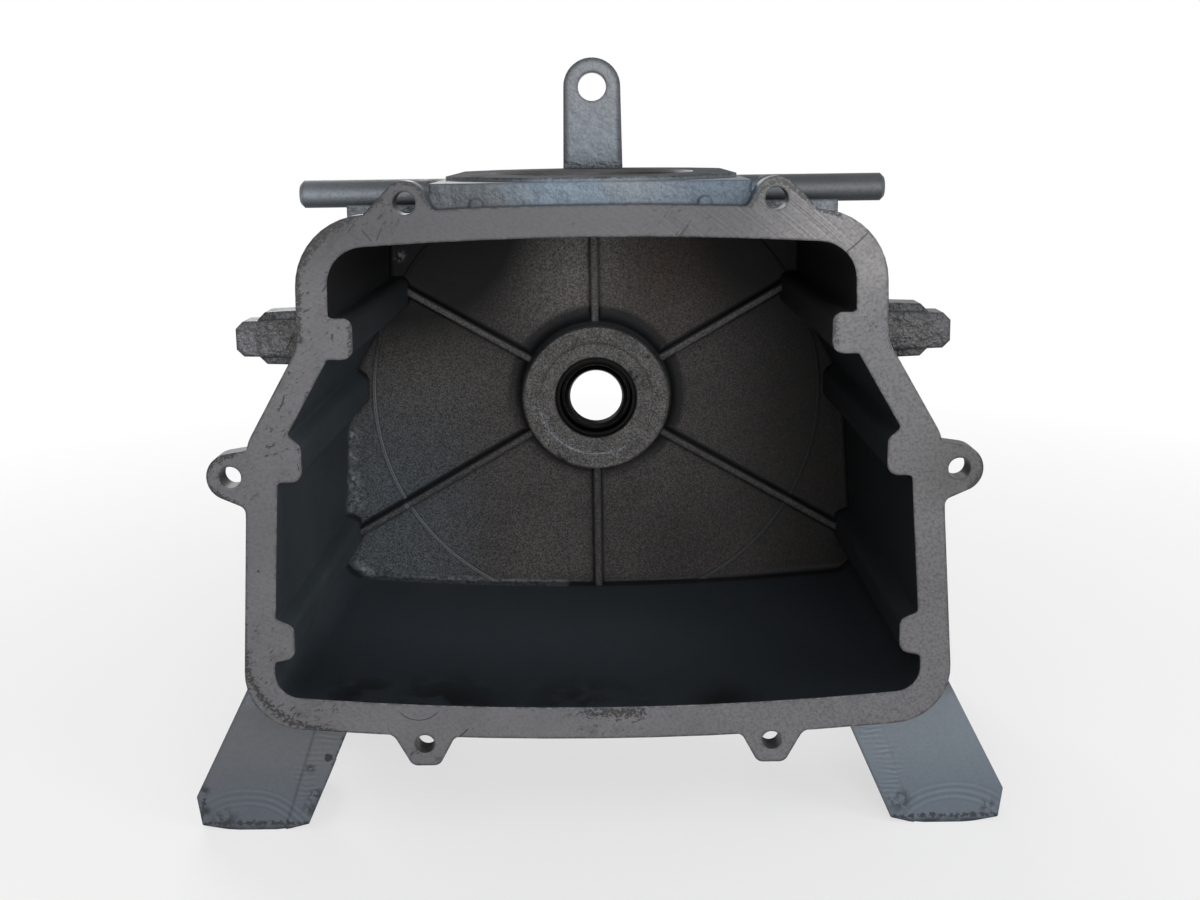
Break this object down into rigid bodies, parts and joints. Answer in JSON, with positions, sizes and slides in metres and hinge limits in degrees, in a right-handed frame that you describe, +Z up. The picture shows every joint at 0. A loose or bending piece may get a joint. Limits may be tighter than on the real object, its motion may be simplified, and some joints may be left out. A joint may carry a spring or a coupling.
{
  "type": "pump crankcase",
  "caption": "Open-fronted cast crankcase of a piston air pump, with bolted front flange, ribbed rear wall, shaft seal in the hub, cylinder deck, lifting tongue and splayed feet.",
  "frame": {"origin": "on the crank axis, in the middle of the main bearing seat in the rear hub", "axes": "+Z up, +Y along the crank axis from the open front to the rear hub, +X to the right seen from the open front"},
  "size_m": [0.39, 0.195, 0.3745],
  "materials": {
    "casting": "sand-cast grey iron, machined on the front flange and in the bores",
    "seal_rubber": "moulded black nitrile, slightly oily",
    "seal_steel": "pressed steel, covered by the rubber",
    "spring_steel": "drawn spring wire, close coiled"
  },
  "bodies": {
    "root": {"crankcase": "casting", "seal_body": "seal_rubber", "seal_ring": "seal_steel", "garter_spring": "spring_steel"}
  },
  "joints": []
}
